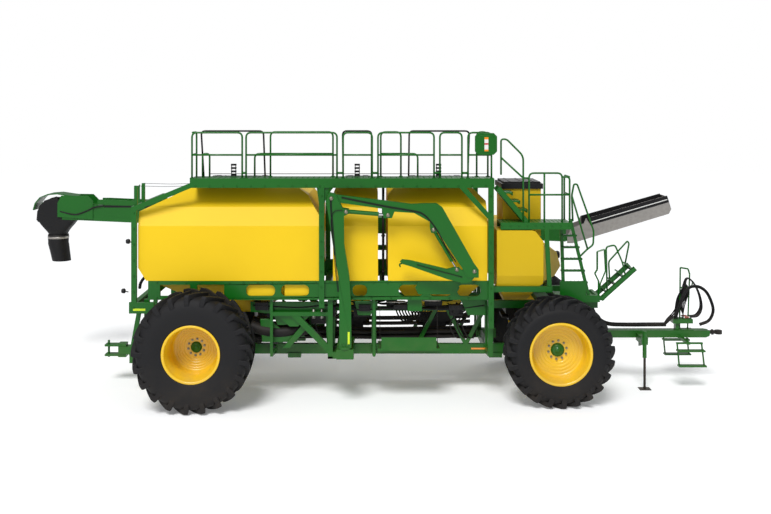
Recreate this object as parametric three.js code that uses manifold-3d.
// Grain and seed cart: four poly tanks on a four-wheel chassis, with a steered tongue, a folding bag crane
// on the right-hand side, a belt conveyor stored on the left-hand side, a service walkway and its ladders.
// Millimetres. +X points to the hitch at the front, +Y to the cart's left, +Z up.
// The origin is on the ground, in the middle of the cart's outline.
import * as THREE from "three";
import { ConvexGeometry } from "three/addons/geometries/ConvexGeometry.js";
import { mergeVertices } from "three/addons/utils/BufferGeometryUtils.js";
import Module from "manifold-3d";

const wasm = await Module();
wasm.setup();

// ---------------------------------------------------------------- driving dimensions
const GAP = 0.5; // air left between two pieces that touch
const RIGHT = -1;
const LEFT = 1;

const TANK_HALF_WIDTH = 1290;
const TANK_WALL = 22;
const TANK_FOOT_Z = 2175; // where the straight side ends and the hopper starts
const TANK_SHOULDER_Z = 3160; // where the side starts to lean in
const TANK_TOP_Z = 3880;
const HOPPER_OUTLET_Z = 1420;

const RAIL_Y = 650; // centre of each lower chassis rail
const RAIL_HALF_WIDTH = 50;
const RAIL_LOW_Z = 720;
const RAIL_HIGH_Z = 900;
const CRADLE_OUT_Y = 1300;
const CRADLE_IN_Y = 1240;
const CRADLE_LOW_Z = 1835;

const POST_OUT_Y = 1361;
const POST_IN_Y = 1301;
const DECK_LOW_Z = 3850;
const DECK_TOP_Z = 4020;
const DECK_REAR_X = -3105;
const DECK_FRONT_X = 2290;
const HANDRAIL_Z = 4840;
const MIDRAIL_Z = 4440;
const OUTER_RAIL_Y = -1330;
const INNER_RAIL_Y = -860;
const TUBE_R = 17; // handrail tube

const REAR_WHEEL = { x: -2955, z: 1045, tyreR: 1045, tyreIn: 1350, tyreOut: 2150, rimR: 508, hubOut: 1580 };
const FRONT_WHEEL = { x: 3470, z: 965, tyreR: 965, tyreIn: 1150, tyreOut: 1800, rimR: 556, hubOut: 1450 };
const WHEEL_SIDES = 24;
const KINGPIN_Y = 950;

const TONGUE_PIVOT_X = 3800;
const TONGUE_LOW_Z = 880;
const TONGUE_HIGH_Z = 1015;
const TONGUE_HALF_WIDTH = 100;
const STEER_ARM = 300; // length of every steering arm, so that the tie rods stay parallel to themselves

// ---------------------------------------------------------------- materials
const paint = (color, roughness, metalness = 0) =>
  new THREE.MeshStandardMaterial({ color, roughness, metalness });
const GREEN = paint(0x1f7a2c, 0.45, 0.1);
const YELLOW_POLY = paint(0xf0d21c, 0.5);
const YELLOW_STEEL = paint(0xf2c811, 0.4, 0.1);
const RUBBER = paint(0x1c1c1d, 0.85);
const BLACK = paint(0x17171a, 0.6);
const GALVANISED = paint(0x9a9a98, 0.45, 0.8);
const CHROME = paint(0xd5d8da, 0.15, 1);

// ---------------------------------------------------------------- solids
function solid(geometry) {
  const bare = geometry.index ? geometry.toNonIndexed() : geometry.clone();
  bare.deleteAttribute("normal");
  bare.deleteAttribute("uv");
  const merged = mergeVertices(bare, 1e-3);
  return new wasm.Manifold(
    new wasm.Mesh({
      numProp: 3,
      vertProperties: merged.attributes.position.array,
      triVerts: new Uint32Array(merged.index.array),
    }),
  );
}
const union = (...pieces) => wasm.Manifold.union(pieces.flat());

function box(x0, x1, y0, y1, z0, z1) {
  const [ya, yb] = y0 < y1 ? [y0, y1] : [y1, y0];
  const geometry = new THREE.BoxGeometry(x1 - x0, yb - ya, z1 - z0);
  return solid(geometry.translate((x0 + x1) / 2, (ya + yb) / 2, (z0 + z1) / 2));
}

// An outline extruded between two planes. The axes say which way the outline's u and v and the extrusion run.
function extruded(outline, from, to, u, v, w) {
  const shape = new THREE.Shape(outline.map(([a, b]) => new THREE.Vector2(a, b)));
  const geometry = new THREE.ExtrudeGeometry(shape, { depth: Math.abs(to - from), bevelEnabled: false });
  geometry.applyMatrix4(new THREE.Matrix4().makeBasis(u, v, w));
  const start = w.x + w.y + w.z > 0 ? Math.min(from, to) : Math.max(from, to);
  const shift = new THREE.Vector3(Math.abs(w.x), Math.abs(w.y), Math.abs(w.z)).multiplyScalar(start);
  return solid(geometry.translate(shift.x, shift.y, shift.z));
}
const X = new THREE.Vector3(1, 0, 0);
const Y = new THREE.Vector3(0, 1, 0);
const Z = new THREE.Vector3(0, 0, 1);
const plateXZ = (outline, y0, y1) => extruded(outline, y0, y1, X, Z, Y.clone().negate());
const plateXY = (outline, z0, z1) => extruded(outline, z0, z1, X, Y, Z);
const plateYZ = (outline, x0, x1) => extruded(outline, x0, x1, Y, Z, X);

function rod(from, to, radius, sides = 4) {
  const a = new THREE.Vector3(...from);
  const b = new THREE.Vector3(...to);
  const along = b.clone().sub(a);
  const geometry = new THREE.CylinderGeometry(radius, radius, along.length(), sides);
  geometry.applyQuaternion(new THREE.Quaternion().setFromUnitVectors(Y, along.clone().normalize()));
  const middle = a.add(b).multiplyScalar(0.5);
  return solid(geometry.translate(middle.x, middle.y, middle.z));
}

// Straight tubes from point to point, welded into one.
const tubes = (points, radius = TUBE_R, sides = 4) =>
  union(points.slice(1).map((point, i) => rod(points[i], point, radius, sides)));

// A square beam from point to point in a plane of constant y.
function beamXZ(x0, z0, x1, z1, depth, yFrom, yTo) {
  const length = Math.hypot(x1 - x0, z1 - z0);
  const nx = (-(z1 - z0) / length) * (depth / 2);
  const nz = ((x1 - x0) / length) * (depth / 2);
  const outline = [[x0 - nx, z0 - nz], [x1 - nx, z1 - nz], [x1 + nx, z1 + nz], [x0 + nx, z0 + nz]];
  return plateXZ(outline, yFrom, yTo);
}

// A profile of [radius, distance along the axle] turned round an axle that runs along +Y through (x, z).
function turnedY(profile, x, z, sides) {
  const geometry = new THREE.LatheGeometry(profile.map(([r, y]) => new THREE.Vector2(r, y)), sides);
  geometry.rotateY(Math.PI / sides);
  return solid(geometry.translate(x, 0, z));
}

const cart = new THREE.Group();
function add(name, made, material) {
  const { numProp, numVert, vertProperties, triVerts } = made.getMesh();
  const positions = new Float32Array(numVert * 3);
  for (let i = 0; i < numVert; i++) positions.set(
    vertProperties.subarray(i * numProp, i * numProp + 3), i * 3,
  );
  const geometry = new THREE.BufferGeometry();
  geometry.setAttribute("position", new THREE.BufferAttribute(positions, 3));
  geometry.setIndex(new THREE.BufferAttribute(triVerts, 1));
  const mesh = new THREE.Mesh(geometry, material);
  mesh.name = name;
  cart.add(mesh);
  return mesh;
}
const mirroredY = (made) => made.mirror([0, 1, 0]);
const bothSides = (made) => union(made, mirroredY(made));

// ---------------------------------------------------------------- tanks
// A tank is the cross section seen along the cart, cut to the outline seen from the side, then hollowed.
function tankBody(side, inset) {
  const w = TANK_HALF_WIDTH - inset;
  const top = TANK_TOP_Z - inset;
  const foot = side.footZ;
  const sideFoot = foot + (side.sideLift ?? inset * 0.6);
  const outletHalf = side.outletHalfWidth - inset;
  const section = [
    [-outletHalf, side.outletZ + inset], [outletHalf, side.outletZ + inset],
    [w - 55, foot + inset * 0.6], [w, sideFoot], [w, TANK_SHOULDER_Z],
    [w - 130, TANK_SHOULDER_Z + 330], [w - 590, top - 40], [w - 700, top],
    [700 - w, top], [590 - w, top - 40], [130 - w, TANK_SHOULDER_Z + 330],
    [-w, TANK_SHOULDER_Z], [-w, sideFoot], [55 - w, foot + inset * 0.6],
  ];
  const outline = side.outline(inset);
  const across = plateYZ(section, side.x0 - 100, side.x1 + 300);
  return across.intersect(plateXZ(outline, -TANK_HALF_WIDTH - 50, TANK_HALF_WIDTH + 50));
}

// Two shells of the same tank: the wall that is left between them, with the filler hole cut through the top.
function tankShell(side, filler) {
  const wall = tankBody(side, 0).subtract(tankBody(side, TANK_WALL));
  return wall.subtract(box(filler.x0, filler.x1, filler.y0, filler.y1, TANK_TOP_Z - 200, TANK_TOP_Z + 50));
}

const LID_Y0 = -760; // near edge of the lids over the three big tanks
const LID_Y1 = 380;
const LID_LOW_Z = TANK_TOP_Z + 8;
const LID_HIGH_Z = LID_LOW_Z + 70;
const FILLER_INSET = 90; // how far the filler hole's edge lies inside the lid's edge

const REAR_TANK = {
  x0: -4046, x1: -794, footZ: TANK_FOOT_Z, outletZ: HOPPER_OUTLET_Z, outletHalfWidth: 300, lidX0: -3000,
  lidX1: -1800,
  outline: (t) => [
    [-2650 + t, HOPPER_OUTLET_Z + t], [-2050 - t, HOPPER_OUTLET_Z + t], [-850 - t, TANK_FOOT_Z + t * 0.6],
    [-794 - t, TANK_FOOT_Z + t * 0.6], [-794 - t, 3342], [-1010 - t, 3683 - t], [-1315, TANK_TOP_Z - t],
    [-3040, TANK_TOP_Z - t], [-4046 + t, 3413 - t], [-4046 + t, 2407], [-3903 + t, TANK_FOOT_Z + t * 0.6],
    [-3850 + t, TANK_FOOT_Z + t * 0.6],
  ],
};
const SECOND_TANK = {
  x0: -543, x1: 266, footZ: TANK_FOOT_Z, outletZ: HOPPER_OUTLET_Z, outletHalfWidth: 300, lidX0: -410,
  lidX1: 180,
  outline: (t) => [
    [-340 + t, HOPPER_OUTLET_Z + t], [60 - t, HOPPER_OUTLET_Z + t], [266 - t, TANK_FOOT_Z], [266 - t, 3740],
    [200 - t, TANK_TOP_Z - t], [-480 + t, TANK_TOP_Z - t], [-543 + t, 3740], [-543 + t, TANK_FOOT_Z],
  ],
};
const THIRD_TANK = {
  x0: 445, x1: 2232, footZ: TANK_FOOT_Z, outletZ: HOPPER_OUTLET_Z, outletHalfWidth: 300, lidX0: 810,
  lidX1: 1970,
  outline: (t) => [
    [1050 + t, HOPPER_OUTLET_Z + t], [1650 - t, HOPPER_OUTLET_Z + t], [2190 - t, TANK_FOOT_Z + t * 0.6],
    [2232 - t, TANK_FOOT_Z + t * 0.6], [2232 - t, 3590], [1935 - t, TANK_TOP_Z - t],
    [640 + t, TANK_TOP_Z - t],
    [445 + t, 3660], [445 + t, TANK_FOOT_Z + t * 0.6], [490 + t, TANK_FOOT_Z + t * 0.6],
  ],
};
const LIDDED_TANKS = { rear: REAR_TANK, second: SECOND_TANK, third: THIRD_TANK };
for (const [name, tank] of Object.entries(LIDDED_TANKS)) {
  const filler = {
    x0: tank.lidX0 + FILLER_INSET, x1: tank.lidX1 - FILLER_INSET, y0: LID_Y0 + 2 * FILLER_INSET,
    y1: LID_Y1 - FILLER_INSET,
  };
  add(`tank_${name}`, tankShell(tank, filler), YELLOW_POLY);
}

// The front tank is low and wide, with a narrow neck that lifts its own lid to the height of the deck.
const NECK = { x0: 2590, x1: 3295, y0: -700, y1: 200, topZ: 3800, lidZ1: 3915 };
const FRONT_TANK = {
  x0: 2404, x1: 3240, footZ: 2075, outletZ: 1560, outletHalfWidth: 300, sideLift: 190,
  outline: (t) => [
    [2700 + t, 1560 + t], [3000 - t, 1560 + t], [3180 - t, 2075 + t * 0.6], [3240 - t, 2120],
    [3240 - t, 2880 - t],
    [3100 - t, 3060 - t], [3040 - t, 3080 - t], [2404 + t, 3080 - t], [2404 + t, 2075 + t * 0.6],
    [2440 + t, 2075 + t * 0.6],
  ],
};
const NOSE_ROOT_HALF_Y = 1180; // the nose narrows like a bow, from here to its tip
const NOSE_TIP_HALF_Y = 300;
function frontTank() {
  const neck = (t) => box(
    NECK.x0 + t, NECK.x1 - t, NECK.y0 + t, NECK.y1 - t, 2900, NECK.topZ + (t ? 50 : 0),
  );
  const nose = (t) => {
    const [root, tip] = [NOSE_ROOT_HALF_Y - t, NOSE_TIP_HALF_Y - t];
    const seenFromSide = plateXZ(
      [[3150, 2130 + t], [3560 - t, 2150 + t], [3730 - t, 2290], [3620 - t, 2580 - t], [3150, 2850 - t]],
      -root, root,
    );
    const seenFromAbove = plateXY(
      [[3150, -root], [3230, -root], [3740, -tip], [3740, tip], [3230, root], [3150, root]], 2000, 3000,
    );
    return seenFromSide.intersect(seenFromAbove);
  };
  const outer = union(tankBody(FRONT_TANK, 0), neck(0), nose(0));
  return outer.subtract(union(tankBody(FRONT_TANK, TANK_WALL), neck(TANK_WALL), nose(TANK_WALL)));
}
add("tank_front", frontTank(), YELLOW_POLY);

// ---------------------------------------------------------------- cradle under the tanks
// Each side is a deep channel with a row of openings that show the hoppers behind it.
const CONVEYOR_Y = 1760;
const ARM_PIVOT_X = -300;
const ARM_LENGTH = 1000;
const ARM_Y = 1440;
const ARM_Z0 = 2330;
const ARM_Z1 = 2450;

// Two lugs and a pin on the cradle's left side hold the conveyor's swing arm.
function armBracket() {
  const x = ARM_PIVOT_X;
  const lug = (z0, z1) => box(x - 90, x + 90, CRADLE_OUT_Y - 5, ARM_Y + 60, z0, z1);
  const pin = rod([x, ARM_Y, ARM_Z0 - 50], [x, ARM_Y, ARM_Z1 + 50], 30, 12);
  const back = box(x - 90, x + 90, CRADLE_OUT_Y - 5, CRADLE_OUT_Y + 40, 1850, ARM_Z1 + 50);
  return union(lug(ARM_Z0 - 50, ARM_Z0 - 8), lug(ARM_Z1 + 8, ARM_Z1 + 50), pin, back);
}

const CRADLE_REAR_X = -3865;
const CRADLE_STEP_X = 2345; // the front tank sits on a shallower stretch
const CRADLE_FRONT_X = 3400;
const CRADLE_FRONT_LOW_Z = 1975;
const WINDOWS = [
  [-3650, -3110], [-2985, -2500], [-2105, -1584], [-1476, -973], [-190, 70], [640, 1080], [1180, 1590],
  [1690, 2110],
];
function cradle() {
  const sideOutline = [
    [CRADLE_REAR_X, CRADLE_LOW_Z], [CRADLE_STEP_X, CRADLE_LOW_Z], [CRADLE_STEP_X, CRADLE_FRONT_LOW_Z],
    [CRADLE_FRONT_X, CRADLE_FRONT_LOW_Z], [CRADLE_FRONT_X, 2075 - GAP], [CRADLE_STEP_X, 2075 - GAP],
    [CRADLE_STEP_X, TANK_FOOT_Z - GAP], [CRADLE_REAR_X, TANK_FOOT_Z - GAP],
  ];
  const window = ([x0, x1]) => box(x0, x1, CRADLE_IN_Y - 10, CRADLE_OUT_Y + 10, 1900, 2105);
  const side = plateXZ(sideOutline, CRADLE_IN_Y, CRADLE_OUT_Y).subtract(union(WINDOWS.map(window)));
  const crossBar = (x0, x1, z0, z1) => box(x0, x1, -CRADLE_OUT_Y, CRADLE_OUT_Y, z0, z1);
  return union(
    bothSides(side),
    crossBar(CRADLE_REAR_X, CRADLE_REAR_X + 60, CRADLE_LOW_Z, 1960),
    crossBar(-740, -620, CRADLE_LOW_Z, 1960),
    crossBar(310, 400, CRADLE_LOW_Z, 1960),
    crossBar(2270, CRADLE_STEP_X, CRADLE_LOW_Z, 1960),
    crossBar(CRADLE_FRONT_X - 60, CRADLE_FRONT_X, CRADLE_FRONT_LOW_Z, 2040),
    armBracket(),
  );
}
add("tank_cradle", cradle(), GREEN);

// ---------------------------------------------------------------- chassis
const OUTRIGGER_X = [-3950, -1700, -640, 150, 2250]; // rear edge of each outrigger and its post
const OUTRIGGER_LENGTH = 90;
const OUTRIGGER_LOW_Z = 745;
const OUTRIGGER_HIGH_Z = 880;
const STEM_OUT_Y = 1235;
const STEM_IN_Y = 1165;
const NOSE_Y0 = 700; // the two nose beams pass outside the front hopper and inside the steered wheels
const NOSE_Y1 = 790;
const NOSE_LOW_Z = 1585;
const NOSE_HIGH_Z = 1725;
const NOSE_FRONT_X = 4330;
const STUB_R = 60; // stub axles
function rearAxle() {
  const { x, z } = REAR_WHEEL;
  const beam = box(x - 90, x + 90, -1325, 1325, RAIL_HIGH_Z - 10, z + 80);
  const stub = rod([x, 120 - REAR_WHEEL.hubOut, z], [x, REAR_WHEEL.hubOut - 120, z], STUB_R, 12);
  return union(beam, stub);
}
function mainFrame() {
  const rail = box(-4250, 2620, RAIL_Y - RAIL_HALF_WIDTH, RAIL_Y + RAIL_HALF_WIDTH, RAIL_LOW_Z, RAIL_HIGH_Z);
  const outrigger = (x) => box(
    x, x + OUTRIGGER_LENGTH, -STEM_OUT_Y, STEM_OUT_Y, OUTRIGGER_LOW_Z, OUTRIGGER_HIGH_Z,
  );
  const stem = (x) => box(
    x, x + OUTRIGGER_LENGTH, STEM_IN_Y, STEM_OUT_Y, OUTRIGGER_LOW_Z, CRADLE_LOW_Z - GAP,
  );
  const strutDepth = 70;
  const strut = (x0, z0, x1, z1) => beamXZ(x0, z0, x1, z1, strutDepth, RAIL_Y + 10, RAIL_Y + 50);
  const sideRail = box(-1700, -560, STEM_IN_Y, STEM_OUT_Y, 1530, 1600);
  const sideBrace = beamXZ(-1330, 1640, -600, 900, 110, STEM_IN_Y + 5, STEM_OUT_Y - 5).intersect(
    box(-1330, -600, 0, 1300, 880, 1600),
  );
  const gusset = plateXZ([[-1560, 1530], [-1330, 1330], [-1180, 1330], [-960, 1530]], STEM_IN_Y, STEM_IN_Y + 14);
  const nose = box(2250, NOSE_FRONT_X, NOSE_Y0, NOSE_Y1, NOSE_LOW_Z, NOSE_HIGH_Z);
  const noseLeg = box(2250, 2340, RAIL_Y, NOSE_Y1, RAIL_HIGH_Z - 40, NOSE_HIGH_Z);
  const upperRail = box(-640, 2250, RAIL_Y + 10, RAIL_Y + 60, 1520, 1600);
  const upperLeg = (x) => box(x, x + OUTRIGGER_LENGTH, RAIL_Y, RAIL_Y + 60, 860, 1560);
  const shoe = (x) => box(x, x + 240, RAIL_Y - 60, RAIL_Y + 80, RAIL_LOW_Z - 65, RAIL_LOW_Z + 20);
  const half = union(
    rail, OUTRIGGER_X.map(stem), nose, noseLeg, upperRail, upperLeg(-640), upperLeg(150),
    sideRail, sideBrace, gusset,
    strut(1900, 890, 2240, 1540), strut(1900, 890, 1560, 1540), strut(1000, 890, 1340, 1540),
    [-1400, -420, 2330].map(shoe),
  );
  const noseTie = box(NOSE_FRONT_X - 90, NOSE_FRONT_X, -NOSE_Y1, NOSE_Y1, NOSE_LOW_Z, NOSE_HIGH_Z);
  const noseBridge = box(3340, 3600, -NOSE_Y1, NOSE_Y1, NOSE_LOW_Z - 60, NOSE_LOW_Z + 40).subtract(
    box(3330, 3610, -200, 200, NOSE_LOW_Z - 70, NOSE_LOW_Z - 30),
  );
  // The crane stands on a stub that reaches out from the third outrigger.
  const craneStub = box(-470, -170, -1680, -RAIL_Y, 860, 1030);
  const craneStubTie = box(-640, -170, -1235, -RAIL_Y, 760, 880);
  return union(
    bothSides(half), OUTRIGGER_X.map(outrigger), noseTie, noseBridge, craneStub, craneStubTie,
    rearAxle(),
  );
}
add("main_frame", mainFrame(), GREEN);

// ---------------------------------------------------------------- deck frame and walkway
const REAR_POST_X = -4155;
const MID_POST_X = -793;
const FRONT_POST_X = 2243;
const POST_LENGTH = 97;
const WALKWAY_IN_Y = -790;
function deckFrame() {
  const post = (x, z) => box(x, x + POST_LENGTH, POST_IN_Y, POST_OUT_Y, z, DECK_LOW_Z + 20);
  const rearPost = box(REAR_POST_X, REAR_POST_X + POST_LENGTH, POST_IN_Y, POST_OUT_Y, 1600, 3520);
  const guardPost = (y) => box(REAR_POST_X + 20, REAR_POST_X + 80, y, y + 40, 3440, 3880);
  const brace = beamXZ(REAR_POST_X + 40, 3470, DECK_REAR_X + 40, 3905, 90, POST_IN_Y, POST_OUT_Y);
  const sill = box(REAR_POST_X - 40, CRADLE_REAR_X + 120, POST_IN_Y, POST_OUT_Y, 1600, 1800);
  const gusset = [
    [MID_POST_X - 40, DECK_LOW_Z], [MID_POST_X + 190, DECK_LOW_Z], [MID_POST_X + 97, 3560],
    [MID_POST_X, 3560],
  ];
  const knee = [
    [FRONT_POST_X + 97, 3300], [FRONT_POST_X + 97, 3180], [FRONT_POST_X - 520, 3850],
    [FRONT_POST_X - 390, 3850],
  ];
  const half = union(
    rearPost, brace, sill, post(MID_POST_X, 1700), post(FRONT_POST_X, 1330),
    plateXZ(gusset, POST_IN_Y, POST_IN_Y + 30), plateXZ(knee.reverse(), POST_OUT_Y - 25, POST_OUT_Y),
    box(DECK_REAR_X, DECK_FRONT_X + 60, POST_IN_Y, POST_OUT_Y, DECK_LOW_Z, DECK_TOP_Z),
  );
  const rearBeam = box(REAR_POST_X - 40, REAR_POST_X + 60, -POST_OUT_Y, POST_OUT_Y, 1600, 1760);
  const rearTopBeam = box(REAR_POST_X, REAR_POST_X + POST_LENGTH, -POST_OUT_Y, POST_OUT_Y, 3440, 3520);
  const crossTie = (x) => box(x, x + 80, -POST_IN_Y - 10, POST_IN_Y + 10, 3900, 3985);
  const floor = box(DECK_REAR_X, DECK_FRONT_X + 60, -POST_IN_Y - 5, WALKWAY_IN_Y, 3985, DECK_TOP_Z);
  const kerb = box(DECK_REAR_X, DECK_FRONT_X + 60, WALKWAY_IN_Y - 30, WALKWAY_IN_Y, 3900, DECK_TOP_Z);
  return union(
    bothSides(half), rearBeam, rearTopBeam, guardPost(-1230), guardPost(-630), floor, kerb,
    [DECK_REAR_X, -700, 320, DECK_FRONT_X - 40].map(crossTie),
  );
}
add("deck_frame", deckFrame(), GREEN);

// A closed guard panel standing on the deck, with or without a middle rail.
function panel(y, x0, x1, { base = DECK_TOP_Z, top = HANDRAIL_Z, middle = MIDRAIL_Z } = {}) {
  const rim = tubes([[x0, y, base + GAP], [x0, y, top], [x1, y, top], [x1, y, base + GAP]]);
  return middle ? union(rim, rod([x0, y, middle], [x1, y, middle], TUBE_R)) : rim;
}
const linkBar = (y, x0, x1, z) => rod([x0, y, z], [x1, y, z], TUBE_R * 0.7);
function outerRailing() {
  const y = OUTER_RAIL_Y;
  const spans = [[-3070, -2170], [-2100, -470], [-360, 160], [265, 1270], [1375, 1770], [1880, 2300]];
  const links = spans.slice(1).map(([x0], i) => linkBar(y, spans[i][1], x0, 4120));
  const rearEnd = tubes([
    [-3070, y, HANDRAIL_Z], [-3070, INNER_RAIL_Y, HANDRAIL_Z], [-3070, INNER_RAIL_Y, DECK_TOP_Z + GAP],
  ]);
  const rearMiddle = rod([-3070, y, MIDRAIL_Z], [-3070, INNER_RAIL_Y, MIDRAIL_Z], TUBE_R);
  return union(spans.map(([x0, x1]) => panel(y, x0, x1)), links, rearEnd, rearMiddle);
}
add("outer_railing", outerRailing(), GREEN);

// Guards beside the lids. Each steps down to half height where a lid's hoop swings past it.
function innerGuards() {
  const y = INNER_RAIL_Y;
  const step = (xHigh, xLow) =>
    tubes([[xHigh, y, MIDRAIL_Z], [xLow, y, MIDRAIL_Z], [xLow, y, DECK_TOP_Z + GAP]]);
  const spans = [[-1710, -560], [320, 690], [2085, 2290]];
  const skirting = rod([-2830, y, 4070], [2290, y, 4070], TUBE_R * 0.8);
  return union(
    spans.map(([x0, x1]) => panel(y, x0, x1)),
    step(-1710, -2000), step(690, 1000), skirting,
    tubes([
      [-2960, y, DECK_TOP_Z + GAP], [-2960, y, MIDRAIL_Z], [-2830, y, MIDRAIL_Z],
      [-2830, y, DECK_TOP_Z + GAP],
    ]),
  );
}
add("inner_guards", innerGuards(), GREEN);

const CONTROL_BOX = { x0: 1999, x1: 2393, z0: 4445, z1: 4835, depth: 70 };
function controlBox() {
  const { x0, x1, z0, z1, depth } = CONTROL_BOX;
  const c = 55;
  const outline = [
    [x0 + c, z0], [x1 - c, z0], [x1, z0 + c], [x1, z1 - c], [x1 - c, z1], [x0 + c, z1], [x0, z1 - c],
    [x0, z0 + c],
  ];
  const front = OUTER_RAIL_Y - TUBE_R - GAP;
  return plateXZ(outline, front - depth, front);
}
add("control_box", controlBox(), GREEN);

// ---------------------------------------------------------------- lids with their lifting hoops
const LID_HINGE_Y = LID_Y1 + 30;
function tankLid({ lidX0, lidX1 }) {
  const hoopLow = -640;
  const hoopHigh = -950;
  const inset = 30;
  const [x0, x1] = [lidX0 + inset, lidX1 - inset];
  const plate = box(lidX0, lidX1, LID_Y0, LID_Y1, LID_LOW_Z, LID_HIGH_Z);
  const hoop = tubes([
    [x0, hoopLow, LID_HIGH_Z - 20], [x0, hoopHigh, HANDRAIL_Z + 20], [x1, hoopHigh, HANDRAIL_Z + 20],
    [x1, hoopLow, LID_HIGH_Z - 20],
  ]);
  const middle = (lidX0 + lidX1) / 2;
  const latch = box(middle - 45, middle + 45, LID_Y0 - 25, LID_Y0 + 60, LID_LOW_Z, LID_HIGH_Z + 110);
  const ear = (x) => box(x - 30, x + 30, LID_Y1 - 10, LID_HINGE_Y + 25, LID_LOW_Z + 20, LID_HIGH_Z);
  return union(plate, hoop, latch, ear(lidX0 + 120), ear(lidX1 - 120));
}
for (const [name, tank] of Object.entries(LIDDED_TANKS)) add(`lid_${name}`, tankLid(tank), BLACK);

function frontLid() {
  const { x0, x1, y0, y1, topZ, lidZ1 } = NECK;
  const margin = 35;
  const skirt = box(x0 - margin, x1 + margin, y0 - margin, y1 + margin, topZ - 20, lidZ1).subtract(
    box(x0 - 6, x1 + 6, y0 - 6, y1 + 6, topZ - 60, topZ + 6),
  );
  return union(skirt, box(x1 + margin - 5, x1 + margin + 70, -120, 120, topZ + 10, topZ + 60));
}
add("lid_front", frontLid(), BLACK);

// ---------------------------------------------------------------- front platform, stair and ladder
const PLATFORM = { x0: 2470, x1: 3740, y0: -1290, y1: -745, z0: 3095, z1: 3223 };
const LOWER_PLATFORM = { x0: 3560, x1: 4330, y0: -960, y1: -330, z0: NOSE_HIGH_Z + GAP, z1: 1850 };
const LADDER_Y0 = -900;
const LADDER_Y1 = -860;
function frontPlatform() {
  const { x0, x1, y0, y1, z0, z1 } = PLATFORM;
  const beam = box(x0, x1, y0, y0 + 50, z0, z1);
  const floor = box(x0, x1, y0, y1, z1 - 40, z1);
  const innerBeam = box(x0, x1, y1 - 40, y1, z0, z1);
  const leg = beamXZ(
    3295, z0 + 30, 3350, 2000, 80, y0, y0 + 50,
  ).intersect(box(3000, 3600, -1300, -1200, 2075, 3200));
  const stairStringer = (y) => beamXZ(2430, DECK_LOW_Z - 20, 2960, z1 - 20, 90, y, y + 40);
  const step = (t) => box(2430 + t * 530, 2430 + t * 530 + 190, -1240, -850, 3830 - t * 620, 3860 - t * 620);
  return union(
    beam, floor, innerBeam, leg, stairStringer(-1260), stairStringer(-850),
    [0.15, 0.4, 0.65].map(step), platformRailing(),
  );
}

function platformRailing() {
  const outer = -1265;
  const inner = -770;
  const base = PLATFORM.z1 - 10;
  const top = 4110;
  const middle = 3720;
  return union(
    tubes([[2985, outer, base], [2985, outer, top], [3580, outer, top], [3580, outer, base]]),
    rod([3260, outer, base], [3260, outer, top], TUBE_R),
    tubes([[3580, outer, 4040], [3715, outer, 4040], [3715, outer, base]]),
    rod([2985, outer, middle], [3715, outer, middle], TUBE_R),
    tubes([[3715, outer, 4040], [3715, inner, 4040], [3715, inner, base]]),
    rod([3715, outer, middle], [3715, inner, middle], TUBE_R),
    // Handrail of the short stair up to the deck.
    tubes([
      [2880, outer, base], [2880, outer, 4420], [2580, outer, 4720], [2480, outer, 4720],
      [2480, outer, 4080],
    ]),
    tubes([[2480, outer, 4390], [2880, outer, 4020], [2985, outer, 4020]]),
  );
}
add("front_platform", frontPlatform(), GREEN);

function accessLadder() {
  const foot = LOWER_PLATFORM.z1 + GAP;
  const top = PLATFORM.z1 + 20;
  const x0 = 3640;
  const rise = 215;
  const stringer = (x, lean, high) => beamXZ(x, high, x + lean, foot, 60, LADDER_Y0, LADDER_Y1).intersect(
    box(3000, 5000, -2000, 0, foot, high),
  );
  const rung = (i) => box(
    x0 - 10, 4170 - i * 50, LADDER_Y0 - 25, LADDER_Y1 + 25, foot + i * rise, foot + i * rise + 30,
  );
  const rungs = [1, 2, 3, 4, 5].map(rung);
  const y = LADDER_Y0 + 20;
  const handrail = tubes([
    [3850, y, top - 30], [3831, y, 3672], [3870, y, 3880], [3930, y, 3880], [4235, y, 3020], [4225, y, 2764],
    [4121, y, 2690], [3990, y, 2560],
  ]);
  const handrailInner = tubes([[3831, y, 3672], [4121, y, 2690]]);
  const topFoot = PLATFORM.z0 - GAP;
  return union(stringer(x0, 40, topFoot), stringer(3800, 335, top), rungs, handrail, handrailInner);
}
add("access_ladder", accessLadder(), GREEN);

const STAIR_PIVOT_X = 4400;
const STAIR_PIVOT_Z = 1780;
const STAIR_Y0 = -850;
const STAIR_Y1 = -370;
function lowerPlatform() {
  const { x0, x1, y0, y1, z0, z1 } = LOWER_PLATFORM;
  const floor = box(x0, x1, y0, y1, z0, z1 - 40);
  const locker = box(3600, 4080, y0, y0 + 30, z0, 2110);
  const nosing = box(x1 - 60, x1, y0, y1, z0, z1);
  const strip = box(x0, x1, y0, y0 + 60, z0, z1);
  const pad = box(3700, 4060, -910, -840, z1 - 50, z1);
  const ear = (y) => box(x1 - 20, STAIR_PIVOT_X + 30, y, y + 25, STAIR_PIVOT_Z - 35, STAIR_PIVOT_Z + 35);
  const pin = rod(
    [STAIR_PIVOT_X, STAIR_Y0 - 40, STAIR_PIVOT_Z], [STAIR_PIVOT_X, STAIR_Y1 + 40, STAIR_PIVOT_Z], 12, 12,
  );
  const guard = tubes([
    [4310, -940, z1], [4310, -940, 2110], [4240, -940, 2250], [4285, -940, 2320], [4285, -940, 2650],
    [4420, -940, 2690], [4440, -940, 2300], [4340, -940, 2060], [4310, -940, z1],
  ]);
  return union(floor, locker, nosing, strip, pad, ear(STAIR_Y0 - 40), ear(STAIR_Y1 + 15), pin, guard);
}
add("lower_platform", lowerPlatform(), GREEN);

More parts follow.
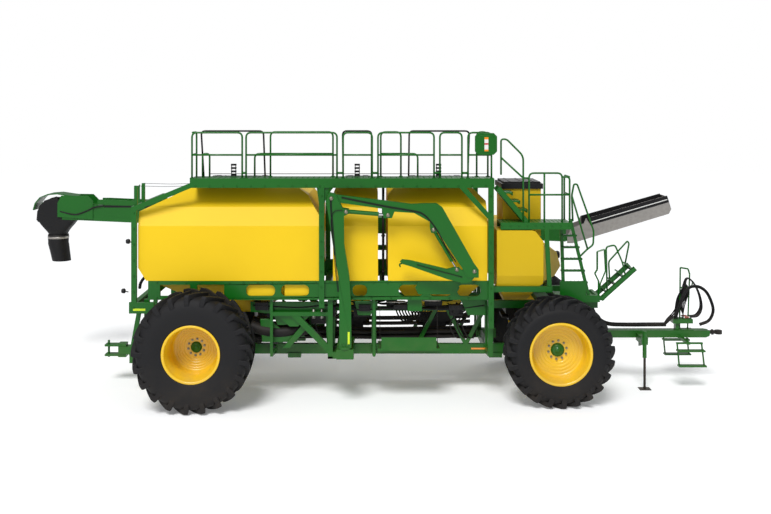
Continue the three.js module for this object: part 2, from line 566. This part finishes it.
// The last flight is carried folded up in front of the platform.
const STAIR_ANGLE = THREE.MathUtils.degToRad(42);
function foldingStair() {
  const length = 820;
  const along = (s, up = 0) => [
    STAIR_PIVOT_X + s * Math.cos(STAIR_ANGLE) - up * Math.sin(STAIR_ANGLE),
    STAIR_PIVOT_Z + s * Math.sin(STAIR_ANGLE) + up * Math.cos(STAIR_ANGLE),
  ];
  const stringer = (y) => plateXZ(
    [along(-35, -45), along(length, -45), along(length, 45), along(-35, 45)], y, y + 35,
  );
  const tread = (s) => plateXZ(
    [along(s, -40), along(s + 30, -40), along(s + 30, 110), along(s, 110)], STAIR_Y0 + 20, STAIR_Y1 - 20,
  );
  const rail = (y, path) => {
    const point = (s, up) => { const [x, z] = along(s, up); return [x, y, z]; };
    return tubes([point(142, 20), ...path.map(([s, up]) => point(s, up))], 16);
  };
  const nearHoop = [[684, 649], [829, 568], [715, 233], [600, 30]];
  const farHoop = [[350, 20], [569, 295], [1095, 347], [1085, 290], [726, 20]];
  const bore = rod(
    [STAIR_PIVOT_X, STAIR_Y0 - 60, STAIR_PIVOT_Z], [STAIR_PIVOT_X, STAIR_Y1 + 60, STAIR_PIVOT_Z], 16, 12,
  );
  return union(
    stringer(STAIR_Y0), stringer(STAIR_Y1 - 35), [120, 330, 540, 750].map(tread), 
    rail(STAIR_Y0 + 17, nearHoop), rail(STAIR_Y1 - 17, farHoop),
  ).subtract(bore);
}
add("folding_stair", foldingStair(), GREEN);

// ---------------------------------------------------------------- axles and wheels
const PIVOT_BRACKET_FRONT_X = 3890;
function frontAxle() {
  const { x, z } = FRONT_WHEEL;
  const beam = box(x - 95, x + 95, -KINGPIN_Y + 20, KINGPIN_Y - 20, 870, 1060);
  const boss = (y) => rod([x, y, 868], [x, y, 1062], 70, 16);
  const kingpin = (y) => rod([x, y, 808], [x, y, 1122], 32, 12);
  const column = box(x - 120, x + 120, -190, 190, 1050, NOSE_LOW_Z - 60 - GAP);
  const spigot = box(x - 110, x + 110, -190, 190, 1500, NOSE_LOW_Z - 30 - GAP);
  const tongueCheek = (z0) => box(x + 80, PIVOT_BRACKET_FRONT_X, -150, 150, z0, z0 + 30);
  const tonguePin = rod([TONGUE_PIVOT_X, 0, 835], [TONGUE_PIVOT_X, 0, 1155], 38, 16);
  const web = box(x + 80, x + 130, -150, 150, 845, 1150);
  return union(
    beam, boss(-KINGPIN_Y), boss(KINGPIN_Y), kingpin(-KINGPIN_Y), kingpin(KINGPIN_Y), column, spigot,
    tongueCheek(TONGUE_HIGH_Z + 5), tongueCheek(TONGUE_LOW_Z - 35), tonguePin, web,
  );
}
add("front_axle", frontAxle(), GREEN);

// A fork round the kingpin boss that carries the stub axle and the steering arm.
function knuckle(side, armZ) {
  const { x } = FRONT_WHEEL;
  const y = side * KINGPIN_Y;
  const plate = (z0, z1) => box(x - 75, x + 75, y - side * 75, y + side * 130, z0, z1);
  const web = box(x - 75, x + 75, y + side * 90, y + side * 130, 818, 1112);
  const stub = rod(
    [x, y + side * 100, FRONT_WHEEL.z], [x, side * (FRONT_WHEEL.hubOut - 130), FRONT_WHEEL.z], STUB_R,
    16,
  );
  const arm = box(x - 40, x + STEER_ARM + 40, y - 40, y + 40, armZ, armZ + 35);
  const armRoot = box(x - 75, x + 75, y - 60, y + 60, armZ, 820);
  const pin = rod([x + STEER_ARM, y, armZ - 55], [x + STEER_ARM, y, armZ + 5], 15, 12);
  const bore = rod([x, y, 700], [x, y, 1200], 36, 12);
  return union(plate(1072, 1112), plate(818, 858), web, stub, arm, armRoot, pin).subtract(bore);
}
const RIGHT_ARM_Z = 815;
const LEFT_ARM_Z = 770;
add("knuckle_right", knuckle(RIGHT, RIGHT_ARM_Z), GREEN);
add("knuckle_left", knuckle(LEFT, LEFT_ARM_Z), GREEN);

function tieRod(side, armZ) {
  const x0 = TONGUE_PIVOT_X + STEER_ARM;
  const x1 = FRONT_WHEEL.x + STEER_ARM;
  const y1 = side * KINGPIN_Y;
  const z = armZ - 25;
  const eye = (x, y) => rod([x, y, z - 15], [x, y, z + 15], 36, 16);
  const hole = (x, y) => rod([x, y, z - 40], [x, y, z + 40], 20, 12);
  const bar = rod([x0, 0, z], [x1, y1, z], 14, 8);
  return union(eye(x0, 0), eye(x1, y1), bar).subtract(union(hole(x0, 0), hole(x1, y1)));
}
add("tie_rod_right", tieRod(RIGHT, RIGHT_ARM_Z), BLACK);
add("tie_rod_left", tieRod(LEFT, LEFT_ARM_Z), BLACK);

// Profiles are drawn for the left-hand wheel, [radius, y], and mirrored for the right-hand one.
function tyre({ x, z, tyreR, tyreIn, tyreOut, rimR }) {
  const flat = Math.cos(Math.PI / WHEEL_SIDES); // the flats, not the corners, are at the stated radius
  const crown = tyreR / flat;
  const middle = (tyreIn + tyreOut) / 2;
  const bead = (rimR - 28) / flat + GAP;
  const widest = bead + (crown - bead) * 0.5;
  const profile = [
    [bead, tyreIn + 40], [widest, tyreIn], [crown - 110, tyreIn + 22], [crown - 12, tyreIn + 60],
    [crown, middle - 120], [crown, middle + 120], [crown - 12, tyreOut - 60], [crown - 110, tyreOut - 22],
    [widest, tyreOut], [bead + 45, tyreOut - 42], [bead, tyreOut - 42], [bead, tyreIn + 40],
  ];
  return turnedY(profile, x, z, WHEEL_SIDES);
}
function rim({ x, z, tyreIn, tyreOut, rimR, hubOut }) {
  const flat = Math.cos(Math.PI / WHEEL_SIDES);
  const lip = rimR / flat;
  const barrel = (rimR - 28) / flat;
  const disc = hubOut - 60;
  const profile = [
    [0, disc - 60], [STUB_R + 20, disc - 60], [STUB_R + 20, disc - 170], [165, disc - 170], [195, disc - 30],
    [barrel - 130, disc - 10], [barrel - 20, tyreIn + 90], [barrel, tyreIn + 60],
    [barrel, tyreOut - 42 + GAP],
    [lip, tyreOut - 42 + GAP], [lip, tyreOut - 24], [barrel - 22, tyreOut - 28], [barrel - 60, disc + 60],
    [barrel - 140, disc + 30], [125, disc + 6], [112, hubOut], [0, hubOut],
  ];
  return turnedY(profile, x, z, WHEEL_SIDES);
}
for (const [axle, wheel] of Object.entries({ rear: REAR_WHEEL, front: FRONT_WHEEL })) {
  add(`tyre_${axle}_left`, tyre(wheel), RUBBER);
  add(`rim_${axle}_left`, rim(wheel), YELLOW_STEEL);
  add(`tyre_${axle}_right`, mirroredY(tyre(wheel)), RUBBER);
  add(`rim_${axle}_right`, mirroredY(rim(wheel)), YELLOW_STEEL);
}

// ---------------------------------------------------------------- tongue
const JACK = { x: 5280, y: -480, tubeR: 38, boreR: 29, legR: 24, tubeLow: 590, tubeHigh: 1090, legTop: 720 };
function tongueBeam() {
  const beam = box(
    TONGUE_PIVOT_X - 80, 6575, -TONGUE_HALF_WIDTH, TONGUE_HALF_WIDTH, TONGUE_LOW_Z, TONGUE_HIGH_Z,
  );
  const pinHole = rod([TONGUE_PIVOT_X, 0, 800], [TONGUE_PIVOT_X, 0, 1200], 42, 16);
  const steerPin = rod(
    [TONGUE_PIVOT_X + STEER_ARM, 0, 725], [TONGUE_PIVOT_X + STEER_ARM, 0, TONGUE_LOW_Z + 10], 15, 12,
  );
  const gusset = plateYZ([[JACK.y, 840], [-95, 840], [-95, 720]].reverse(), JACK.x - 15, JACK.x + 15);
  const jackTube = rod([JACK.x, JACK.y, JACK.tubeLow], [JACK.x, JACK.y, JACK.tubeHigh], JACK.tubeR, 16);
  const jackClamp = box(JACK.x - 60, JACK.x + 60, JACK.y - 20, -90, 835, 975);
  const jackBore = rod(
    [JACK.x, JACK.y, JACK.tubeLow - 10], [JACK.x, JACK.y, JACK.tubeHigh - 15], JACK.boreR, 16,
  );
  const wedge = plateXZ([[6570, 885], [6620, 900], [6640, 925], [6640, 1005], [6570, 1014]], -95, 95);
  return union(beam.subtract(pinHole), steerPin, gusset, jackTube, jackClamp, wedge).subtract(jackBore);
}
add("tongue_beam", tongueBeam(), GREEN);

function hitchClevis() {
  const shank = rod([6640 + GAP, 0, 965], [6800, 0, 965], 36, 12);
  const collar = rod([6700, 0, 965], [6730, 0, 965], 55, 12);
  const ring = rod([6830, 0, 930], [6830, 0, 1000], 72, 16);
  const hole = rod([6830, 0, 900], [6830, 0, 1100], 30, 16);
  return union(shank.add(collar).add(ring).subtract(hole));
}
add("hitch_clevis", hitchClevis(), BLACK);

function jackLeg() {
  const leg = rod([JACK.x, JACK.y, 10], [JACK.x, JACK.y, JACK.legTop], JACK.legR, 12);
  const foot = box(JACK.x - 105, JACK.x + 105, JACK.y - 90, JACK.y + 90, 0, 14);
  return union(leg, foot);
}
add("jack_leg", jackLeg(), BLACK);

const RACK = { x0: 6085, x1: 6240, topZ: 2205, hookZ: 1880 };
function hoseRack() {
  const base = TONGUE_HIGH_Z + GAP;
  const foot = box(6020, 6330, -90, 90, base, base + 12);
  const hoop = tubes([
    [RACK.x0, 0, base + 6], [RACK.x0 + 15, 0, RACK.topZ], [RACK.x1 + 10, 0, RACK.topZ - 25],
    [RACK.x1 + 40, 0, 2080], [RACK.x1, 0, base + 6],
  ], 15);
  const hook = tubes(
    [
      [RACK.x0 + 10, 0, RACK.hookZ - 60], [RACK.x1 + 75, 0, RACK.hookZ - 60],
      [RACK.x1 + 95, 0, RACK.hookZ + 40],
    ],
    12,
  );
  const parkingBar = box(5930, 6310, -110, 110, 1150, 1230);
  const parkingLeg = box(5990, 6060, -60, 60, base, 1160);
  const tray = box(6020, 6110, -60, 60, base, base + 20);
  return union(foot, hoop, hook, parkingBar, parkingLeg, tray);
}
add("hose_rack", hoseRack(), GREEN);

// Two treads on each side, hung from a bar under the tongue.
function tongueSteps() {
  const tie = box(6080, 6140, -470, 470, 830, TONGUE_LOW_Z - GAP);
  const half = (side) => {
    const y = side * 450;
    const leg = (x, lean) => tubes([[x, y, 855], [x + lean, y, 430]], 16);
    const tread = (x, z) => box(x, x + 520, y - side * 60, y + side * 70, z, z + 28);
    return union(
      leg(5900, 40), leg(6360, 50), tread(5895, 700), tread(5920, 416),
      box(5880, 6380, y - 20, y + 20, 840, 870),
    );
  };
  return union(tie, half(RIGHT), half(LEFT));
}
add("tongue_steps", tongueSteps(), GREEN);

// A hose bundle as one closed tube along a smooth path.
function hoseBundle(points, radius, steps) {
  const curve = new THREE.CatmullRomCurve3(points.map((p) => new THREE.Vector3(...p)));
  const section = new THREE.Shape();
  section.absarc(0, 0, radius, 0, 2 * Math.PI);
  const sides = 8;
  const ring = new THREE.Shape(section.getPoints(sides).slice(0, sides));
  return solid(new THREE.ExtrudeGeometry(ring, { steps, extrudePath: curve }));
}
const HOSE_LINE = [
  [4380, 40, 1520], [4430, 40, 1360], [4530, 30, 1215], [4700, 0, 1130], [5000, 0, 1110],
  [5500, 0, 1110], [5820, 0, 1110],
];
add("hose_line", hoseBundle(HOSE_LINE, 42, 28), RUBBER);

// The free ends are looped over the rack's hook and come back to the parking bar.
const HOSE_LOOP = [
  [5960, -160, 1290], [6030, -165, 1520], [6110, -165, 1710], [6220, -155, 1850], [6390, -150, 1870],
  [6540, -155, 1780], [6640, -160, 1600], [6680, -165, 1400], [6600, -160, 1220], [6420, -155, 1140],
];
add("hose_loop", hoseBundle(HOSE_LOOP, 34, 36), RUBBER);

// ---------------------------------------------------------------- rear hitch
function rearHitch() {
  const drawbar = box(-4700, -4252, -110, 110, 560, 700);
  const crossBar = box(-4330, -4250 - GAP, -770, 770, 560, 860);
  const jaw = (z) => box(-4970, -4690, -90, 90, z, z + 35);
  const pin = rod([-4910, 0, 490], [-4910, 0, 810], 22, 12);
  const cheek = box(-4710, -4560, -90, 90, 500, 760);
  const arm = (y) => beamXZ(
    -4300, 700, -4140, 1590 - GAP, 80, y, y + 60,
  ).intersect(box(-4500, -4000, -900, 900, 0, 1600 - GAP));
  return union(drawbar, crossBar, jaw(520), jaw(705), pin, cheek, arm(-770), arm(710));
}
add("rear_hitch", rearHitch(), GREEN);

// ---------------------------------------------------------------- metering and air
function meter(x, topZ, halfX) {
  const body = box(x - halfX, x + halfX, -290, 290, topZ - 190, topZ - GAP);
  const throat = box(x - halfX + 60, x + halfX - 60, -230, 230, topZ - 330, topZ - 180);
  const port = (y) => rod([x - halfX - 60, y, topZ - 260], [x + halfX + 60, y, topZ - 260], 32, 8);
  const motor = rod([x, -400, topZ - 100], [x, -280, topZ - 100], 55, 10);
  return union(body, throat, [-160, -55, 55, 160].map(port), motor);
}
add("meter_rear", meter(-2350, HOPPER_OUTLET_Z, 280), BLACK);
add("meter_second", meter(-140, HOPPER_OUTLET_Z, 190), BLACK);
add("meter_third", meter(1350, HOPPER_OUTLET_Z, 280), BLACK);
add("meter_front", meter(2900, 1560, 200), BLACK);

const FAN = { x: -1210, y: -330, z: 1330, r: 260, y0: -480, y1: -180 };
function fanHousing() {
  const { x, z, r, y0, y1 } = FAN;
  const wall = 14;
  const shell = rod([x, y0, z], [x, y1, z], r, 20).subtract(rod(
    [x, y0 + wall, z], [x, y1 - wall, z], r - wall, 20,
  ));
  const inlet = rod([x, y0 - 20, z], [x, y0 + 40, z], 150, 16);
  const scroll = rod([x, y0, z], [x, y1, z], r - wall, 20);
  const outlet = box(x, x + 470, y0 + 20, y1 - 20, z - r, z - r + 150).subtract(scroll);
  const duct = box(x + 40, x + 500, y0 + 34, y1 - 34, z - r + wall, z - r + 136);
  const foot = box(x - 120, x + 120, y0 + 40, y1 - 40, RAIL_HIGH_Z + 125, z - r + 10);
  const sole = box(x - 380, x + 120, -RAIL_Y - 40, y1, RAIL_HIGH_Z + 125, RAIL_HIGH_Z + 150);
  const leg = box(x - 380, x - 290, -RAIL_Y - 40, -RAIL_Y + 40, RAIL_HIGH_Z + GAP, RAIL_HIGH_Z + 140);
  return union(shell, outlet, foot, sole, leg).subtract(union(inlet, duct));
}
add("fan_housing", fanHousing(), GREEN);
function fanImpeller() {
  const { x, z, y0, y1 } = FAN;
  const backPlate = rod([x, y1 - 50, z], [x, y1 - 40, z], 205, 16);
  const hub = rod([x, y0 + 60, z], [x, y1 - 42, z], 45, 12);
  const blades = Array.from({ length: 8 }, (_, i) => {
    const a = (i * Math.PI) / 4;
    const [cx, cz] = [Math.cos(a), Math.sin(a)];
    return beamXZ(x + 35 * cx, z + 35 * cz, x + 195 * cx, z + 195 * cz, 8, y0 + 70, y1 - 45);
  });
  return union(backPlate, hub, blades);
}
add("fan_impeller", fanImpeller(), BLACK);

// A step that folds down beside the third tank's meter.
const STEP = { x0: 265, x1: 1369, hingeY: -820, outY: -1400, z0: 940, z1: 985 };
function serviceStep() {
  const { x0, x1, hingeY, outY, z0, z1 } = STEP;
  const floor = box(x0, x1, outY, hingeY, z0, z1);
  const riser = box(x0 + 60, x1 - 60, outY, outY + 25, z0, 1180);
  return union(floor, riser);
}
add("service_step", serviceStep(), GREEN);

// ---------------------------------------------------------------- bag crane
const CRANE_Y = -1585;
const MAST_X = -320; // slew axis
const MAST_FOOT_Z = 1030 + GAP;
const BOOM_PIVOT = [-560, 3690];
const BOOM_CYLINDER_FOOT = [-300, 3455];
const BOOM_CYLINDER_EYE = [440, 3393];
const JIB_PIVOT = [1965, 2400];
const JIB_CYLINDER_FOOT = [1241, 3136];
const JIB_CYLINDER_EYE = [1656, 2429];
const BOOM_HALF = 47; // half thicknesses, measured across the crane
const RAM_SLOT_HALF = 33;
const JIB_HALF = 28;
const JIB_EYE_HALF = 18;
const CHEEK = 30; // thickness of each plate of a lug or fork
const SLOT_HALF = 50; // half the width of the slot between two cheeks
const yBand = (half) => [CRANE_Y - half, CRANE_Y + half];
const pinXZ = ([x, z], radius, half) => rod([x, CRANE_Y - half, z], [x, CRANE_Y + half, z], radius, 12);

function craneMast() {
  const outline = [
    [-418, MAST_FOOT_Z + 30], [-205, MAST_FOOT_Z + 30], [-212, 1800], [-241, 2315], [-333, 2880],
    [-338, 3380],
    [-250, 3420], [-250, 3500], [-360, 3520], [-490, 3770], [-600, 3790], [-650, 3650], [-533, 2880],
    [-437, 2315], [-418, 1800],
  ];
  const plate = plateXZ(outline, ...yBand(SLOT_HALF + CHEEK));
  const slot = box(
    -700, -200, ...yBand(SLOT_HALF + 2), 3330, 3900,
  ).subtract(box(-700, -480, ...yBand(90), 3000, 3480));
  const turntable = rod([MAST_X, CRANE_Y, MAST_FOOT_Z], [MAST_X, CRANE_Y, MAST_FOOT_Z + 45], 120, 16);
  return union(
    plate.subtract(slot), turntable, pinXZ(BOOM_PIVOT, 24, SLOT_HALF + CHEEK + 12),
    pinXZ(BOOM_CYLINDER_FOOT, 16, SLOT_HALF + CHEEK + 8),
  );
}
add("crane_mast", craneMast(), GREEN);

function craneBoom() {
  const outline = [
    [-620, 3640], [380, 3500], [520, 3455], [900, 3430], [1060, 3340], [1217, 3252], [1358, 3040],
    [1747, 2457], [1840, 2290],
    [2040, 2290], [2040, 2430], [1960, 2540], [1400, 3530], [1300, 3600], [1080, 3600], [850, 3590],
    [-560, 3765], [-620, 3740],
  ];
  const limbs = plateXZ(outline, ...yBand(BOOM_HALF));
  const rodLug = plateXZ([[360, 3340], [510, 3340], [560, 3470], [330, 3520]], ...yBand(BOOM_HALF));
  const rodSlot = box(250, 560, ...yBand(26), 3300, 3452);
  const barrelLug = plateXZ(
    [[1180, 3170], [1200, 3080], [1290, 3075], [1400, 3180], [1350, 3300], [1180, 3270]],
    ...yBand(BOOM_HALF),
  );
  const barrelSlot = plateXZ(
    [[1140, 3190], [1140, 3000], [1380, 3000], [1380, 3060], [1300, 3190]], ...yBand(RAM_SLOT_HALF),
  );
  const jibSlot = plateXZ(
    [[1600, 2200], [2060, 2200], [2060, 2490], [1940, 2520], [1840, 2490], [1640, 2590]],
    ...yBand(JIB_HALF + 3),
  );
  return union(limbs, rodLug, barrelLug)
    .subtract(union(rodSlot, barrelSlot, jibSlot))
    .subtract(pinXZ(BOOM_PIVOT, 29, 100))
    .add(pinXZ(JIB_CYLINDER_FOOT, 14, BOOM_HALF + 8))
    .add(pinXZ(JIB_PIVOT, 18, BOOM_HALF + 8));
}
add("crane_boom", craneBoom(), GREEN);

function craneJib() {
  const outline = [
    [2000, 2330], [1900, 2210], [1760, 2190], [1500, 2255], [860, 2480], [690, 2530], [650, 2570],
    [690, 2610], [830, 2595],
    [1480, 2440], [1600, 2470], [1700, 2470], [1740, 2420], [1900, 2450], [2000, 2450],
  ];
  const blade = plateXZ(outline, ...yBand(JIB_HALF));
  const eyeSlot = plateXZ([[1540, 2320], [1800, 2320], [1800, 2520], [1540, 2520]], ...yBand(JIB_EYE_HALF));
  const hook = tubes([[700, CRANE_Y, 2540], [640, CRANE_Y, 2520], [660, CRANE_Y, 2470]], 14);
  return union(blade, hook).subtract(eyeSlot).subtract(pinXZ(JIB_PIVOT, 23, 100));
}
add("crane_jib", craneJib(), GREEN);

// A cylinder barrel and its rod, drawn along the line from foot to eye.
function ram(foot, eye, barrelR, rodR, barrelShare, half) {
  const [dx, dz] = [eye[0] - foot[0], eye[1] - foot[1]];
  const length = Math.hypot(dx, dz);
  const at = (s) => [foot[0] + (dx / length) * s, CRANE_Y, foot[1] + (dz / length) * s];
  const barrelEnd = length * barrelShare;
  const footEye = rod([foot[0], CRANE_Y - half, foot[1]], [foot[0], CRANE_Y + half, foot[1]], 34, 12);
  const barrel = rod(at(45), at(barrelEnd), barrelR, 12).subtract(rod(
    at(60), at(barrelEnd + 10), rodR + 4, 12,
  ));
  const neck = rod(at(10), at(60), barrelR * 0.7, 12);
  const rodEye = rod([eye[0], CRANE_Y - half + 3, eye[1]], [eye[0], CRANE_Y + half - 3, eye[1]], 28, 12);
  return {
    barrel: union(footEye, barrel, neck).subtract(rod(
      [foot[0], CRANE_Y - 100, foot[1]], [foot[0], CRANE_Y + 100, foot[1]], 20, 12,
    )),
    rod: union(rod(at(90), at(length - 5), rodR, 12), rodEye),
  };
}
const boomRam = ram(BOOM_CYLINDER_FOOT, BOOM_CYLINDER_EYE, 38, 20, 0.78, 26);
add("boom_ram_barrel", boomRam.barrel, GREEN);
add("boom_ram_rod", boomRam.rod, CHROME);
const jibRam = ram(JIB_CYLINDER_FOOT, JIB_CYLINDER_EYE, 30, 14, 0.8, 18);
add("jib_ram_barrel", jibRam.barrel, GREEN);
add("jib_ram_rod", jibRam.rod, CHROME);

// ---------------------------------------------------------------- conveyor
const CONVEYOR_REAR = [-6290, 3120];
const CONVEYOR_FRONT = [4200, 2660];
const CONVEYOR_HALF_Y = 210;
const CARRIER_X = ARM_PIVOT_X + ARM_LENGTH;
const TILT_Z = 2745;
const CONVEYOR_FALL = (CONVEYOR_FRONT[1] - CONVEYOR_REAR[1]) / (CONVEYOR_FRONT[0] - CONVEYOR_REAR[0]);
const conveyorZ = (x) => CONVEYOR_REAR[1] + (x - CONVEYOR_REAR[0]) * CONVEYOR_FALL;

function conveyorArm() {
  const ring = (x) => rod([x, ARM_Y, ARM_Z0], [x, ARM_Y, ARM_Z1], 70, 16);
  const bar = box(ARM_PIVOT_X, CARRIER_X, ARM_Y - 45, ARM_Y + 45, ARM_Z0 + 10, ARM_Z1 - 10);
  const bore = (x) => rod([x, ARM_Y, 2200], [x, ARM_Y, 2600], 34, 12);
  return union(ring(ARM_PIVOT_X), ring(CARRIER_X), bar).subtract(union(bore(ARM_PIVOT_X), bore(CARRIER_X)));
}
add("conveyor_arm", conveyorArm(), GREEN);

function conveyorCarrier() {
  const x = CARRIER_X;
  const pin = rod([x, ARM_Y, ARM_Z0 - 30], [x, ARM_Y, ARM_Z1 + 20], 30, 12);
  const cap = box(x - 80, x + 80, ARM_Y - 70, ARM_Y + 70, ARM_Z1 + 8, ARM_Z1 + 48);
  const shelf = box(x - 60, x + 60, ARM_Y, CONVEYOR_Y + 270, ARM_Z1 + 8, ARM_Z1 + 48);
  const cheek = (y) => box(x - 60, x + 60, y, y + 25, ARM_Z1 + 30, TILT_Z + 50);
  const tiltPin = (y) => rod([x, y, TILT_Z], [x, y + 60, TILT_Z], 22, 12);
  return union(
    pin, cap, shelf, cheek(CONVEYOR_Y - 250), cheek(CONVEYOR_Y + 225), tiltPin(CONVEYOR_Y - 255),
    tiltPin(CONVEYOR_Y + 195),
  );
}
add("conveyor_carrier", conveyorCarrier(), GREEN);

function conveyorTube() {
  const wall = 12;
  const depth = 330;
  const [x0, x1] = [CONVEYOR_REAR[0], CONVEYOR_FRONT[0]];
  const [y0, y1] = [CONVEYOR_Y - CONVEYOR_HALF_Y, CONVEYOR_Y + CONVEYOR_HALF_Y];
  const outer = beamXZ(x0, conveyorZ(x0), x1, conveyorZ(x1), depth, y0, y1);
  const inner = beamXZ(
    x0 - 50, conveyorZ(x0 - 50), x1 + 50, conveyorZ(x1 + 50), depth - 2 * wall, y0 + wall, y1 - wall,
  );
  const post = (y) => plateXZ([[-4740, 3150], [-4670, 3150], [-4670, 3690], [-4740, 3630]], y, y + 25);
  const tiltHole = (y) => rod([CARRIER_X, y - 40, TILT_Z], [CARRIER_X, y + 40, TILT_Z], 27, 12);
  const hingeEar = (y) => box(x1 - 60, x1 + 70, y, y + 20, conveyorZ(x1) - 150, conveyorZ(x1) - 60);
  const headPlate = (y) => plateXZ(
    [[-6385, 3300], [-6385, 3010], [-5650, 2960], [-5650, 3340], [-5760, 3450], [-6310, 3455]].reverse(),
    y, y + 22,
  );
  return union(
    outer.subtract(inner), post(y0 - 24), post(y1 - 1), hingeEar(y0 - 19), hingeEar(y1 - 1),
    headPlate(y0 - 21), headPlate(y1 - 1), headArch(y0 - 21, y1 + 21),
  )
    .subtract(union(tiltHole(y0), tiltHole(y1)));
}

// A bent sheet that arches over the discharge hood.
function headArch(y0, y1) {
  const top = [
    [-6902, 3160], [-6860, 3300], [-6760, 3420], [-6600, 3485], [-6400, 3500], [-6200, 3470],
    [-5990, 3440],
  ];
  const under = top.map(([x, z], i) => [x + (i < 3 ? 22 : 4), z - (i < 3 ? 10 : 20)]).reverse();
  return plateXZ([...top, ...under].reverse(), y0, y1);
}
add("conveyor_tube", conveyorTube(), GREEN);

// A shallow trough with a rubber rim, folded up in front of the tube.
function conveyorHopper() {
  const [y0, y1] = [CONVEYOR_Y - CONVEYOR_HALF_Y - 30, CONVEYOR_Y + CONVEYOR_HALF_Y + 30];
  const side = [
    [4215, 2470], [4330, 2470], [6330, 3080], [6380, 3180], [6290, 3460], [4600, 2980], [4560, 2880],
    [4290, 2780], [4215, 2600],
  ];
  const inside = [[4100, 2500], [4325, 2500], [6300, 3105], [6300, 3600], [4560, 3120], [4100, 2960]];
  const tray = plateXZ(side, y0 - 22, y1 + 22).subtract(plateXZ(inside, y0, y1));
  const clearTube = box(4000, 4290, y0, y1, 2400, 3000);
  return tray.subtract(clearTube);
}
add("conveyor_hopper", conveyorHopper(), GALVANISED);

// The rubber hood turns the grain down into a round neck, and the spout swivels on that neck.
const SPOUT = { x: -6436, neckR: 188, z: 2567 };
function conveyorHood() {
  const [y0, y1] = [CONVEYOR_Y - CONVEYOR_HALF_Y + 4, CONVEYOR_Y + CONVEYOR_HALF_Y - 4];
  const wall = 16;
  const outline = [
    [-6640, 2690], [-6820, 2987], [-6815, 3120], [-6760, 3250], [-6660, 3350], [-6540, 3395],
    [-6400, 3390], [-6302, 3290],
    [-6302, 2935], [-6040, 2925], [-6035, 2880], [-6232, 2690],
  ];
  const middle = new THREE.Vector2(-6450, 3020);
  const shrunk = outline.map(([x, z]) => {
    const from = new THREE.Vector2(x, z).sub(middle);
    const p = from.multiplyScalar(1 - wall / from.length()).add(middle);
    return [p.x, p.y];
  });
  const mouth = box(-6350, -6250, y0 + 20, y1 - 20, 2965, 3270);
  const neck = rod([SPOUT.x, CONVEYOR_Y, 2500], [SPOUT.x, CONVEYOR_Y, 2720], SPOUT.neckR, 20);
  const throat = rod([SPOUT.x, CONVEYOR_Y, 2400], [SPOUT.x, CONVEYOR_Y, 2760], SPOUT.neckR - wall, 20);
  return union(plateXZ(outline, y0, y1), neck).subtract(union(
    plateXZ(shrunk, y0 + wall, y1 - wall), mouth, throat,
  ));
}
add("conveyor_hood", conveyorHood(), RUBBER);

function conveyorSpout() {
  const ring = (z, r, shift) => Array.from({ length: 20 }, (_, i) => {
    const a = (i * Math.PI) / 10;
    return new THREE.Vector3(SPOUT.x + shift + r * Math.cos(a), CONVEYOR_Y + r * Math.sin(a), z);
  });
  const tube = (r, extra) => {
    const rings = [
      ring(SPOUT.z + 60 + extra, r, 0), ring(SPOUT.z - 120, r, 0),
      ring(2075 - extra, r - 20, 70 + extra * 0.15),
    ];
    const stretch = (a, b) => solid(new ConvexGeometry([...a, ...b]));
    return union(stretch(rings[0], rings[1]), stretch(rings[1], rings[2]));
  };
  const strap = rod(
    [SPOUT.x, CONVEYOR_Y, SPOUT.z - 25], [SPOUT.x, CONVEYOR_Y, SPOUT.z + 25], SPOUT.neckR + 30, 20,
  );
  return union(tube(SPOUT.neckR + 22, 0), strap).subtract(tube(SPOUT.neckR + 6, 40));
}
add("conveyor_spout", conveyorSpout(), RUBBER);

export default cart;
